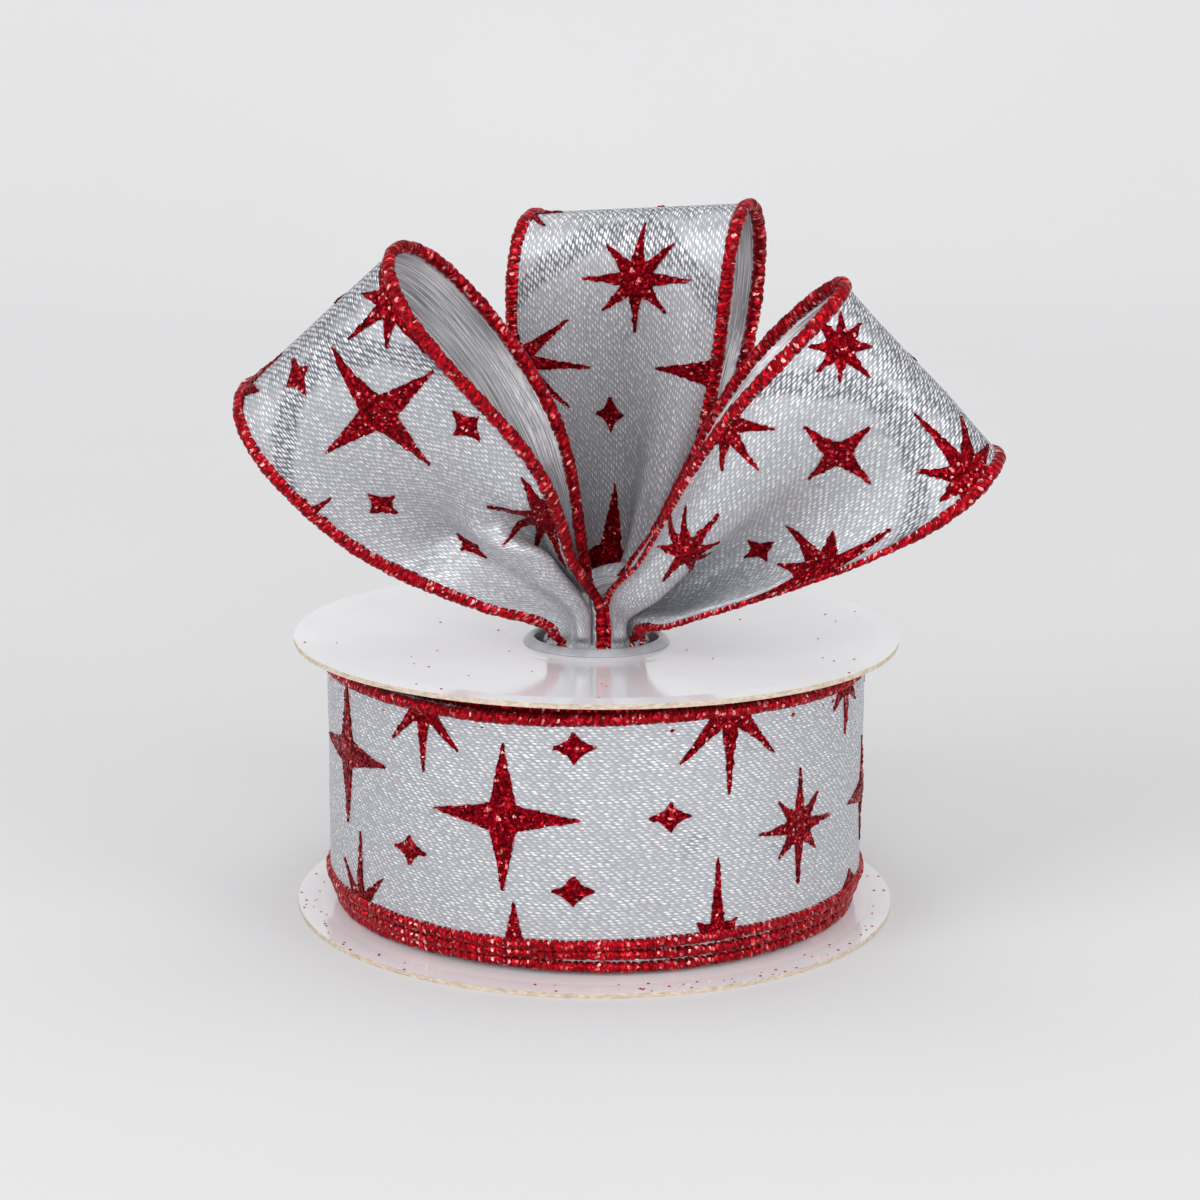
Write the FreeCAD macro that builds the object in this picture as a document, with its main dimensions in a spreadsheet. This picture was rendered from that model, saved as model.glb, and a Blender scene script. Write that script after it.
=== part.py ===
"""Wired gift ribbon on a dished two-flange spool, with a three-loop bow standing in the hub hole.

Frame: millimetres, +Z up. The origin is on the spool's axis, in the plane that the bottom rim
stands on. The bow faces -Y.
"""

import FreeCAD, Part
import Sketcher
import math
import os

from FreeCAD import Placement, Rotation, Vector

# ---------------------------------------------------------------- driving dimensions
# alias, value, what it is. Lengths are in millimetres, angles in degrees.
DIMENSIONS = [
    ("flange_radius", 50.8, "4 inch flange"),
    ("board", 0.8, "flange board thickness"),
    ("rim_top", 46.7, "height of the spool at its rim"),
    ("dish", 2.0, "how far each flange's hub is drawn in from its rim"),
    ("rim_flat", 47.0, "radius where the flat rim starts"),
    ("hub_flat", 16.0, "radius where the flat hub zone ends"),
    ("bore_radius", 10.4, "hub hole"),
    ("collar_wall", 0.6, "wall of the hub collars"),
    ("lip_radius", 12.4, "flared lip of a collar"),
    ("lip_rise", 1.2, "how far the lip stands off the flange"),
    ("lip_land", 0.8, "flat top of a collar's lip, across"),
    ("lip_edge", 0.3, "thickness of the lip at its rim"),
    ("sleeve_depth", 12.0, "how far a collar goes into the core"),
    ("slip", 0.05, "gap between pieces that slip together"),
    ("core_wall", 2.0, "wall of the core tube"),
    ("ribbon_width", 38.1, "1.5 inch ribbon"),
    ("edge_width", 2.0, "stitched edge, across the ribbon"),
    ("edge_thick", 1.2, "stitched edge, through the ribbon"),
    ("web_thick", 0.3, "woven web"),
    ("wire_radius", 0.2, "wire inside a stitched edge"),
    ("channel_half", 0.3, "half the channel that the wire runs in"),
    ("roll_radius", 45.75, "outside of the outer turn's stitched edges"),
    ("turn_pitch", 0.8, "radial step from one turn to the next"),
    ("coil_gap", 0.1, "gap between the core and the first turn"),
    ("inner_low", 4.4, "lower edge of the inner turns"),
    ("outer_low", 5.6, "lower edge of the outer turn"),
    ("second_low", 3.5, "lower edge of the second turn"),
    ("third_low", 1.4, "lower edge of the third turn"),
    ("fourth_low", 6.7, "lower edge of the fourth turn"),
    ("tape_thick", 0.06, "tape"),
    ("tape_gap", 0.02, "gap under a tape"),
    ("tape_width", 18.0, "tape, along the axis"),
    ("end_tape_arc", 26.0, "tape at the outer end of the ribbon"),
    ("core_tape_arc", 70.0, "tape at the inner end of the ribbon"),
    ("stem_radius", 9.4, "gathered ribbon where it fills the hub"),
    ("stem_waist", 8.8, "gathered ribbon under the tie"),
    ("stem_groove", 8.05, "where the tie wire bites in"),
    ("stem_foot", 6.5, "cut ends of the gathered ribbon"),
    ("stem_low", 20.0, "height of the cut ends"),
    ("stem_flare", 9.0, "height over which the cut ends close up"),
    ("groove_slope", 0.4, "slope either side of the tie's groove"),
    ("stem_shoulder", 2.5, "height of the widening under the loops"),
    ("stem_round", 0.6, "rounding of the stem's top, along the axis"),
    ("stem_crown", 1.2, "rounding of the stem's top, across"),
    ("stem_top", 46.2, "top of the gathered ribbon in the hub"),
    ("neck_root", 3.2, "radius of a neck where it leaves the stem"),
    ("neck_sink", 1.5, "how far a neck's root is sunk in the stem"),
    ("neck_wide", 5.0, "half a neck's width under its loop"),
    ("neck_deep", 3.2, "half a neck's depth under its loop"),
    ("neck_gap", 1.0, "gap between a neck and its loop"),
    ("tie_height", 40.0, "height of the tie wire"),
    ("tie_radius", 8.55, "ring of the tie wire"),
    ("tie_wire", 0.42, "radius of the tie wire"),
    ("tie_tail", 7.0, "twisted tail of the tie wire"),
]
SIZE = {alias: value for alias, value, _ in DIMENSIONS}

# Each loop is a teardrop band. It stands on base, is turned about its own axis, nods towards -Y
# and then fans out towards +X, in degrees. height, depth: the teardrop. belly moves its widest
# place up. lean and drift bend its axis to the front and to the side, skew tilts its crest.
# The gather at its foot is a wave across the ribbon: steepness (radians), reach (share of the
# height), fade, waves (half waves across half the width) and phase. most is the steepest slope
# that the cloth takes (radians), so that a loop's two legs stay clear of each other.
LOOPS = {
    "left": {
        "base": (-0.9, -7.8, 46.0), "turn": -19.8, "nod": 9.8, "fan": -35.9,
        "height": 71.1, "depth": 27.6, "belly": 0.42, "lean": 3.5, "drift": -1.9, "skew": 0.17,
        "steep": 5.26, "reach": 1.23, "fade": 6.0, "waves": 1.06, "phase": -0.34, "most": 1.3,
    },
    "middle": {
        "base": (0.0, 7.5, 46.0), "turn": -17.2, "nod": -3.5, "fan": 8.4,
        "height": 70.9, "depth": 29.1, "belly": 0.62, "lean": 11.6, "drift": 0.0, "skew": 0.19,
        "steep": 2.74, "reach": 1.88, "fade": 6.0, "waves": 1.34, "phase": -0.03, "most": 1.25,
    },
    "right": {
        "base": (0.9, -8.3, 46.0), "turn": 2.6, "nod": 17.6, "fan": 44.0,
        "height": 73.0, "depth": 22.5, "belly": 0.06, "lean": 2.3, "drift": 1.2, "skew": -0.06,
        "steep": 5.58, "reach": 1.75, "fade": 6.0, "waves": 1.31, "phase": 0.27, "most": 1.34,
    },
}
FOOT = 0.15  # a loop's solids start at this share of its height, clear of the neck under them
NECK_INSET = 0.62  # a neck's root lies this share of the way out from the axis to its loop's base
SEAM_GAP = 0.05  # between the web and a stitched edge, mm
CORE_TAPE_HEADING = 40.0  # middle of the core tape round the axis, degrees
END_TAPE_HEADING = 90.0  # middle of the end tape, at the back
LEG_GAP = 0.5  # half the gap between a loop's two legs at the very foot, mm
RUN_ON = 0.003  # how far a wire channel runs past both feet, as a share of the loop
ALONG = 36  # spans along a loop
ACROSS = 14  # spans across the web
STEPS = 48  # steps of the arc-length sum across half the ribbon

doc = FreeCAD.newDocument("ribbon_spool")
sheet = doc.addObject("Spreadsheet::Sheet", "Dims")
made = []  # every sub-part, in order


def fill_sheet():
    """One row per driving dimension: value in column A, its meaning in column B."""
    for row, (alias, value, meaning) in enumerate(DIMENSIONS, start=1):
        sheet.set(f"A{row}", str(value))
        sheet.setAlias(f"A{row}", alias)
        sheet.set(f"B{row}", meaning)
    doc.recompute()


def dim(words):
    """An expression in the sheet's aliases: 'rim_top - board' becomes 'Dims.rim_top - Dims.board'."""
    return " ".join("Dims." + word if word in SIZE else word for word in words.split())


def keep(thing, label):
    thing.Label = label
    made.append(thing)
    return thing


# ---------------------------------------------------------------- turned pieces
def add_outline(sketch, points, first):
    """A closed outline of straight lines. Each corner is held at (radius, height) by the sheet."""
    count = len(points)
    for i in range(count):
        a, b = 2.0 * math.pi * i / count, 2.0 * math.pi * (i + 1) / count
        start = Vector(20 + math.cos(a), 20 + math.sin(a), 0)
        stop = Vector(20 + math.cos(b), 20 + math.sin(b), 0)
        sketch.addGeometry(Part.LineSegment(start, stop), False)
    for i in range(count):
        line, following = first + i, first + (i + 1) % count
        sketch.addConstraint(Sketcher.Constraint("Coincident", line, 2, following, 1))
    for i, (radius, height) in enumerate(points):
        line = first + i
        for kind, words in (("DistanceX", radius), ("DistanceY", height)):
            index = sketch.addConstraint(Sketcher.Constraint(kind, -1, 1, line, 1, 20.0))
            name = f"{kind[-1]}{line}"
            sketch.renameConstraint(index, name)
            sketch.setExpression(f"Constraints.{name}", dim(words))
    return first + count


def turned(label, *outlines, arc="360", heading=0.0, whole=True):
    """A body turned about Z from closed outlines; the first is its outside, the rest are channels.
    It is a sub-part of its own unless whole is False."""
    body = doc.addObject("PartDesign::Body", label + "_body")
    plane = next(f for f in body.Origin.OriginFeatures if f.Role == "XZ_Plane")
    sketch = body.newObject("Sketcher::SketchObject", label + "_outline")
    sketch.AttachmentSupport = (plane, [""])
    sketch.MapMode = "FlatFace"
    first = 0
    for points in outlines:
        first = add_outline(sketch, points, first)
    doc.recompute()
    turn = body.newObject("PartDesign::Revolution", label + "_turn")
    turn.Profile = sketch
    turn.ReferenceAxis = (sketch, ["V_Axis"])
    turn.setExpression("Angle", dim(arc))
    turn.Midplane = arc != "360"
    body.Placement = Placement(Vector(), Rotation(Vector(0, 0, 1), heading))
    return keep(body, label) if whole else body


def ring(low, high, inner, outer):
    """A rectangle between two heights and two radii."""
    return [(inner, low), (outer, low), (outer, high), (inner, high)]


def make_spool():
    turned("bottom_flange", [
        ("bore_radius + collar_wall + slip", "dish"), ("hub_flat", "dish"), ("rim_flat", "0"),
        ("flange_radius", "0"), ("flange_radius", "board"), ("rim_flat", "board"),
        ("hub_flat", "dish + board"), ("bore_radius + collar_wall + slip", "dish + board"),
    ])
    turned("top_flange", [
        ("bore_radius + collar_wall + slip", "rim_top - dish - board"),
        ("hub_flat", "rim_top - dish - board"), ("rim_flat", "rim_top - board"),
        ("flange_radius", "rim_top - board"), ("flange_radius", "rim_top"), ("rim_flat", "rim_top"),
        ("hub_flat", "rim_top - dish"), ("bore_radius + collar_wall + slip", "rim_top - dish"),
    ])
    turned("core_tube", ring(
        "dish + board", "rim_top - dish - board",
        "bore_radius + collar_wall + slip", "bore_radius + collar_wall + slip + core_wall",
    ))
    turned("bottom_collar", [
        ("bore_radius", "dish - lip_rise"),
        ("bore_radius + lip_land", "dish - lip_rise"), ("lip_radius", "dish - lip_edge"),
        ("lip_radius", "dish"), ("bore_radius + collar_wall", "dish"),
        ("bore_radius + collar_wall", "dish + sleeve_depth"), ("bore_radius", "dish + sleeve_depth"),
    ])
    turned("top_collar", [
        ("bore_radius", "rim_top - dish + lip_rise"),
        ("bore_radius + lip_land", "rim_top - dish + lip_rise"),
        ("lip_radius", "rim_top - dish + lip_edge"),
        ("lip_radius", "rim_top - dish"), ("bore_radius + collar_wall", "rim_top - dish"),
        ("bore_radius + collar_wall", "rim_top - dish - sleeve_depth"),
        ("bore_radius", "rim_top - dish - sleeve_depth"),
    ])


# ---------------------------------------------------------------- ribbon on the spool
def make_tapes():
    core = "bore_radius + collar_wall + slip + core_wall"
    middle = "inner_low + ribbon_width / 2"
    turned(
        "core_tape",
        ring(
            middle + " - tape_width / 2", middle + " + tape_width / 2",
            core + " + tape_gap", core + " + tape_gap + tape_thick",
        ),
        arc="core_tape_arc", heading=CORE_TAPE_HEADING,
    )
    web = "roll_radius - edge_thick / 2 + web_thick / 2 + tape_gap"
    turned(
        "end_tape",
        ring(
            "outer_low + ribbon_width / 2 - tape_width / 2",
            "outer_low + ribbon_width / 2 + tape_width / 2",
            web, web + " + tape_thick",
        ),
        arc="end_tape_arc", heading=END_TAPE_HEADING,
    )


def make_inner_turns():
    core = "bore_radius + collar_wall + slip + core_wall + coil_gap"
    outside = "roll_radius - 3 * turn_pitch - edge_thick - slip"
    low, high = "inner_low + edge_width", "inner_low + ribbon_width - edge_width"
    turned("inner_turns_web", ring(low, high, core, outside))
    turned("inner_turns_bottom_edge", ring("inner_low", low, core, outside))
    turned("inner_turns_top_edge", ring(high, "inner_low + ribbon_width", core, outside))


def edge_wires(label, outside, heights):
    """The two wires of one turn, as one group."""
    rings = []
    for i, height in enumerate(heights):
        wire = doc.addObject("Part::Torus", f"{label}_ring{i}")
        wire.setExpression("Radius1", dim(outside + " - edge_thick / 2"))
        wire.setExpression("Radius2", dim("wire_radius"))
        wire.setExpression("Placement.Base.z", dim(height))
        rings.append(wire)
    group = doc.addObject("Part::Compound", label + "_group")
    group.Links = rings
    keep(group, label)


def make_turn(name, index):
    """One turn: a web between two hollow stitched edges, with a wire in each edge."""
    outside = f"roll_radius - {index} * turn_pitch"
    low = f"{name}_low"
    web_low, web_high = low + " + edge_width", low + " + ribbon_width - edge_width"
    middle = outside + " - edge_thick / 2"
    turned(f"{name}_turn_web", ring(
        web_low, web_high, middle + " - web_thick / 2", middle + " + web_thick / 2",
    ))
    centres = (low + " + edge_width / 2", low + " + ribbon_width - edge_width / 2")
    spans = ((low, web_low), (web_high, low + " + ribbon_width"))
    for side, centre, (start, stop) in zip(("bottom", "top"), centres, spans):
        channel = ring(
            centre + " - channel_half", centre + " + channel_half",
            middle + " - channel_half", middle + " + channel_half",
        )
        turned(f"{name}_turn_{side}_edge", ring(start, stop, outside + " - edge_thick", outside), channel)
    edge_wires(f"{name}_turn_wires", outside, centres)


# ---------------------------------------------------------------- bow stem
def neck(loop):
    """The gathered ribbon between the hub and one loop: round in the stem, oval under the loop."""
    width, front, up = axes(loop)
    base = Vector(*loop["base"])
    root = Vector(base.x, base.y * NECK_INSET, SIZE["stem_top"] - SIZE["neck_sink"])
    low = Part.Wire(Part.Circle(root, Vector(0, 0, 1), SIZE["neck_root"]).toShape())
    middle = base + up * (loop["height"] * FOOT - SIZE["neck_gap"])
    right = middle + width * SIZE["neck_wide"]
    ahead = middle + front * SIZE["neck_deep"]
    high = Part.Wire(Part.Ellipse(right, ahead, middle).toShape())
    return Part.makeLoft([low, high], True)


def make_stem():
    """The gathered ends that fill the hub, with a neck for each loop."""
    groove_low, groove_high = "tie_height - tie_wire", "tie_height + tie_wire"
    column = turned("bow_stem_column", [
        ("0", "stem_low"), ("stem_foot", "stem_low"), ("stem_waist", "stem_low + stem_flare"),
        ("stem_waist", groove_low + " - groove_slope"), ("stem_groove", groove_low),
        ("stem_groove", groove_high), ("stem_waist", groove_high + " + groove_slope"),
        ("stem_radius", "stem_top - stem_shoulder"), ("stem_radius", "stem_top - stem_round"),
        ("stem_radius - stem_crown", "stem_top"), ("0", "stem_top"),
    ], whole=False)
    doc.recompute()
    computed("bow_stem", column.Shape.multiFuse([neck(loop) for loop in LOOPS.values()]))


def make_tie_wire():
    """A closed ring of wire with a twisted tail along the stem."""
    loop = doc.addObject("Part::Torus", "tie_ring")
    loop.setExpression("Radius1", dim("tie_radius"))
    loop.setExpression("Radius2", dim("tie_wire"))
    loop.setExpression("Placement.Base.z", dim("tie_height"))
    tail = doc.addObject("Part::Cylinder", "tie_tail_rod")
    tail.setExpression("Radius", dim("tie_wire"))
    tail.setExpression("Height", dim("tie_tail"))
    tail.setExpression("Placement.Base.y", dim("stem_waist + tie_wire + slip"))
    tail.setExpression("Placement.Base.z", dim("tie_height - tie_tail"))
    tie = doc.addObject("Part::Fuse", "tie_fuse")
    tie.Base, tie.Tool = loop, tail
    keep(tie, "bow_tie_wire")


# ---------------------------------------------------------------- bow loops
def axes(loop):
    """The loop's width, front and height directions."""
    turn = Rotation(Vector(0, 0, 1), loop["turn"])
    nod = Rotation(Vector(1, 0, 0), loop["nod"])
    fan = Rotation(Vector(0, 1, 0), loop["fan"])
    pose = fan.multiply(nod).multiply(turn)
    return [pose.multVec(v) for v in (Vector(1, 0, 0), Vector(0, -1, 0), Vector(0, 0, 1))]


def smooth(share):
    share = min(max(share, 0.0), 1.0)
    return share * share * (3.0 - 2.0 * share)


def wave(loop, steep):
    """Running sums of a wavy section at STEPS even places either side of the middle."""
    half = SIZE["ribbon_width"] / 2.0
    step = 1.0 / STEPS
    sums = {0: (0.0, 0.0)}
    for side in (1, -1):
        across = out = 0.0
        for i in range(STEPS):
            place = side * (i + 0.5) * step
            slope = steep * math.sin(math.pi * loop["waves"] * (place - loop["phase"]))
            slope = loop["most"] * math.tanh(slope / loop["most"])
            across += side * math.cos(slope) * step * half
            out += side * math.sin(slope) * step * half
            sums[side * (i + 1)] = (across, out)
    low, high = sums[-STEPS], sums[STEPS]
    centre = ((low[0] + high[0]) / 2.0, (low[1] + high[1]) / 2.0)
    return {k: (x - centre[0], z - centre[1]) for k, (x, z) in sums.items()}


def at(sums, share):
    """A running sum between its steps; share is -1 to 1 across the ribbon."""
    place = share * STEPS
    low = min(max(math.floor(place), -STEPS), STEPS - 1)
    part = place - low
    (x0, z0), (x1, z1) = sums[low], sums[low + 1]
    return x0 + (x1 - x0) * part, z0 + (z1 - z0) * part


def loop_row(loop, along, shares):
    """Points across the ribbon at one place along a loop: 0 is the front foot, 1 the back foot."""
    width, front, up = axes(loop)
    angle = math.pi * along
    rise = math.sin(angle)
    belly = 1.0 - loop["belly"] + loop["belly"] * rise * rise
    out = loop["depth"] / 2.0 * math.sin(2.0 * angle) * belly
    out += LEG_GAP * (1.0 - rise) * (1.0 if along < 0.5 else -1.0)
    out += loop["lean"] * rise * rise
    centre = Vector(*loop["base"]) + up * (loop["height"] * rise) + front * out
    centre += width * (loop["drift"] * rise * rise)
    steep = loop["steep"] * (1.0 - smooth(rise / loop["reach"])) ** loop["fade"]
    sums = wave(loop, steep)
    tilted = width + up * (loop["skew"] * rise * rise)
    row = []
    for share in shares:
        across, fold = at(sums, share)
        row.append(centre + tilted * across + front * fold)
    return row


def loop_grid(loop, shares, spread=0.0):
    """Points and unit normals over a loop, from foot to foot. spread lengthens both feet."""
    foot = math.asin(FOOT) / math.pi - spread
    nudge = 1e-3
    grid, normals = [], []
    for i in range(ALONG + 1):
        along = foot + (1.0 - 2.0 * foot) * i / ALONG
        row = loop_row(loop, along, shares)
        ahead, behind = (loop_row(loop, along + d, shares) for d in (nudge, -nudge))
        right, left = (loop_row(loop, along, [v + d for v in shares]) for d in (nudge, -nudge))
        grid.append(row)
        normals.append([
            (a - b).cross(r - l).normalize() for a, b, r, l in zip(ahead, behind, right, left)
        ])
    return grid, normals


def surface(grid, normals, offset):
    patch = Part.BSplineSurface()
    patch.interpolate([
        [p + n * offset for p, n in zip(points, ns)] for points, ns in zip(grid, normals)
    ])
    return patch


def strip(loop, low, high, thin, thick, spans, spread=0.0):
    """A closed strip of a loop: low to high across the ribbon in mm, thin to thick through it."""
    half = SIZE["ribbon_width"] / 2.0
    shares = [(low + (high - low) * j / spans) / half for j in range(spans + 1)]
    grid, normals = loop_grid(loop, shares, spread)
    faces = []
    skins = [surface(grid, normals, offset) for offset in (thin, thick)]
    for skin in skins:
        faces.append(skin.toShape())
    inner, outer = skins
    u0, u1, v0, v1 = inner.bounds()
    for v in (v0, v1):
        faces.append(inner.vIso(v).makeRuledSurface(outer.vIso(v)).toShape())
    for u in (u0, u1):
        faces.append(inner.uIso(u).makeRuledSurface(outer.uIso(u)).toShape())
    shell = Part.Shell(faces)
    shell.sewShape()
    solid = Part.Solid(shell)
    if solid.Volume < 0:
        solid.reverse()
    return solid


def computed(label, shape):
    feature = doc.addObject("Part::Feature", label)
    feature.Shape = shape
    feature.Placement = Placement()
    keep(feature, label)


def make_loop(name):
    """A loop's web, its two stitched edges and the wire inside each edge."""
    loop = LOOPS[name]
    half = SIZE["ribbon_width"] / 2.0
    seam = half - SIZE["edge_width"]
    middle = half - SIZE["edge_width"] / 2.0
    thick, web = SIZE["edge_thick"] / 2.0, SIZE["web_thick"] / 2.0
    channel, wire = SIZE["channel_half"], SIZE["wire_radius"]
    computed(f"{name}_loop_web", strip(loop, -seam + SEAM_GAP, seam - SEAM_GAP, -web, web, ACROSS))
    for side, sign in (("left", -1.0), ("right", 1.0)):
        ends = sorted((sign * seam, sign * half))
        outside = strip(loop, *ends, -thick, thick, 4)
        ends = (sign * middle - channel, sign * middle + channel)
        hollow = strip(loop, *ends, -channel, channel, 4, spread=RUN_ON)
        computed(f"{name}_loop_{side}_edge", outside.cut(hollow))
        ends = (sign * middle - wire, sign * middle + wire)
        computed(f"{name}_loop_{side}_wire", strip(loop, *ends, -wire, wire, 4))


# ---------------------------------------------------------------- build, test, write
def check_and_write():
    doc.recompute()
    for thing in doc.Objects:
        if "Invalid" in thing.State or "Error" in thing.State:
            raise RuntimeError(f"{thing.Name} failed: {thing.State}")
    os.makedirs("parts", exist_ok=True)
    for thing in made:
        shape = thing.Shape
        if shape.isNull() or not shape.isValid():
            raise RuntimeError(f"{thing.Label} has no valid shape")
        shape.exportStep(f"parts/{thing.Label}.step")
        box = shape.BoundBox
        print(
            f"{thing.Label}: {len(shape.Solids)} solid, {shape.Volume:.1f} mm3,"
            f" z {box.ZMin:.2f} to {box.ZMax:.2f}"
        )


fill_sheet()
make_spool()
make_tapes()
make_inner_turns()
for index, name in enumerate(("outer", "second", "third", "fourth")):
    make_turn(name, index)
make_stem()
make_tie_wire()
for name in LOOPS:
    make_loop(name)
check_and_write()
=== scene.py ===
"""A gift-ribbon spool with a three-loop bow standing in its hub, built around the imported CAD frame.

Lengths in this file are millimetres unless a name says otherwise. A mesh is written in metres.
Ribbon coordinates: along is measured from a loop's crest, or from the front of the roll, and
across from the ribbon's middle line.
"""

import math

import bmesh
import bpy
import numpy as np
from mathutils import Matrix, Vector
from mathutils.geometry import delaunay_2d_cdt


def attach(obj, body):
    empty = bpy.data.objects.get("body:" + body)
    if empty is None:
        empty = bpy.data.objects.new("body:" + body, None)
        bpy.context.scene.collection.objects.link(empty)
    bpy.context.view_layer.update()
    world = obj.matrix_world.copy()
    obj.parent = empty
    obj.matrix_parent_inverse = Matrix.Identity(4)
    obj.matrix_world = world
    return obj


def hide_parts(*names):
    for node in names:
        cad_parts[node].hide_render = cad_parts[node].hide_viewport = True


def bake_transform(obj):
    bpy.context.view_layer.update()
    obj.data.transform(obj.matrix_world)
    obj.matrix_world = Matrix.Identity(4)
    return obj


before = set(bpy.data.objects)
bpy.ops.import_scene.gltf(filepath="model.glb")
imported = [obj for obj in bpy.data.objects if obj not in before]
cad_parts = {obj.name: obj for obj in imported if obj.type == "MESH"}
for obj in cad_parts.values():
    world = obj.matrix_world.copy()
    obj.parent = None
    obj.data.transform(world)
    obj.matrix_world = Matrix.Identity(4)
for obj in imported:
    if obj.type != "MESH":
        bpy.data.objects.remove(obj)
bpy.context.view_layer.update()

MM = 0.001
HALF_RIBBON = 19.05  # half of a 1.5 inch ribbon
EDGE_WIDTH = 2.2  # overlocked edge, across the ribbon
EDGE_THICK = 1.8  # and through it
WEB_HALF = 0.14  # half the web's thickness
SEAM = HALF_RIBBON - 1.0  # the edge cord's centre, across
WEB_REACH = HALF_RIBBON - 0.6  # the web runs this far into the edge cord
STITCH_PITCH = 1.3
ROLL_RADIUS = 45.15  # middle of the outer turn
TURN_PITCH = 0.8  # radial step from one turn to the next
SEAM_GAP = 0.1  # a turn stops this far short of the line at the back
CAMERA_PLACE = (0.00057, -0.4313, 0.1448)  # metres
CAMERA_DOWN = 12.17  # degrees it looks down
CAMERA_ROLL = 0.37
CAMERA_LENS = 78.5
dice = np.random.default_rng(7)


# ---------------------------------------------------------------- camera and light
def add_camera():
    """The photo's viewpoint."""
    data = bpy.data.cameras.new("camera")
    data.sensor_width = 36.0
    data.lens = CAMERA_LENS
    camera = bpy.data.objects.new("camera", data)
    bpy.context.scene.collection.objects.link(camera)
    place = Matrix.Translation(CAMERA_PLACE)
    pitch = Matrix.Rotation(math.radians(90 - CAMERA_DOWN), 4, "X")
    roll = Matrix.Rotation(math.radians(CAMERA_ROLL), 4, "Z")
    camera.matrix_world = place @ pitch @ roll
    bpy.context.scene.camera = camera


def add_light(name, place, target, size, power):
    """A rectangular softbox at place, in metres, aimed at target."""
    data = bpy.data.lights.new(name, "AREA")
    data.shape = "RECTANGLE"
    data.size, data.size_y = size
    data.energy = power
    light = bpy.data.objects.new(name, data)
    bpy.context.scene.collection.objects.link(light)
    light.location = place
    aim = Vector(target) - Vector(place)
    light.rotation_euler = aim.to_track_quat("-Z", "Y").to_euler()


def add_studio():
    """Even pale surroundings and four softboxes."""
    world = bpy.data.worlds.new("studio")
    bpy.context.scene.world = world
    world.use_nodes = True
    background = world.node_tree.nodes["Background"]
    background.inputs["Color"].default_value = (0.86, 0.865, 0.88, 1)
    background.inputs["Strength"].default_value = 0.80
    add_light("key_softbox", (-0.85, -0.75, 0.60), (0, 0, 0.05), (0.6, 0.7), 5.6)
    add_light("fill_softbox", (0.90, -0.70, 0.40), (0, 0, 0.06), (0.5, 0.8), 4.2)
    add_light("front_softbox", (0.05, -1.20, 0.45), (0, 0, 0.07), (0.8, 0.3), 4.0)
    add_light("top_softbox", (0.05, 0.25, 1.0), (0, 0, 0.05), (0.8, 0.5), 1.4)
    view = bpy.context.scene.view_settings
    view.view_transform = "Standard"
    view.look = "None"


# ---------------------------------------------------------------- meshes
def add_mesh(name, points, faces, material, soft=True, ribbon=None):
    """A mesh object from millimetre points, soft or faceted. ribbon gives each point its ribbon
    coordinates."""
    mesh = bpy.data.meshes.new(name)
    faces = faces.tolist() if isinstance(faces, np.ndarray) else faces
    mesh.from_pydata((np.asarray(points) * MM).tolist(), [], faces)
    if ribbon is not None:
        kept = mesh.attributes.new("ribbon", "FLOAT_VECTOR", "POINT")
        kept.data.foreach_set("vector", np.asarray(ribbon, dtype=np.float32).ravel())
    mesh.materials.append(material)
    shape = bmesh.new()
    shape.from_mesh(mesh)
    bmesh.ops.recalc_face_normals(shape, faces=shape.faces)
    shape.to_mesh(mesh)
    shape.free()
    mesh.polygons.foreach_set("use_smooth", [soft] * len(mesh.polygons))
    piece = bpy.data.objects.new(name, mesh)
    bpy.context.scene.collection.objects.link(piece)
    return piece


def grid_faces(rows, columns, start=0, closed=False):
    """Quads of a grid of points; closed joins its last column to its first."""
    i = np.arange(rows - 1)[:, None]
    j = np.arange(columns if closed else columns - 1)[None, :]
    k = (j + 1) % columns
    low, high = start + i * columns, start + (i + 1) * columns
    return np.stack([low + j, low + k, high + k, high + j], axis=-1).reshape(-1, 4)


def lathe(name, outline, material, around=160, ripple=None, woven=False):
    """A closed outline of (radius, height) turned about Z. ripple(angle, height) scales a radius.
    A woven piece gets ribbon coordinates, up and round it."""
    outline = np.asarray(outline, float)
    angle = np.linspace(0, 2 * math.pi, around, endpoint=False)[:, None]
    radius = np.repeat(outline[None, :, 0], around, axis=0)
    if ripple:
        radius = radius * ripple(angle, outline[None, :, 1])
    height = np.repeat(outline[None, :, 1], around, axis=0)
    points = np.stack([radius * np.cos(angle), radius * np.sin(angle), height], axis=-1)
    count = len(outline)
    faces = grid_faces(around + 1, count, closed=True) % (around * count)
    cloth = np.stack([height, angle * radius, np.ones_like(height)], axis=-1) if woven else None
    return add_mesh(name, points.reshape(-1, 3), faces, material, ribbon=cloth)


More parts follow.
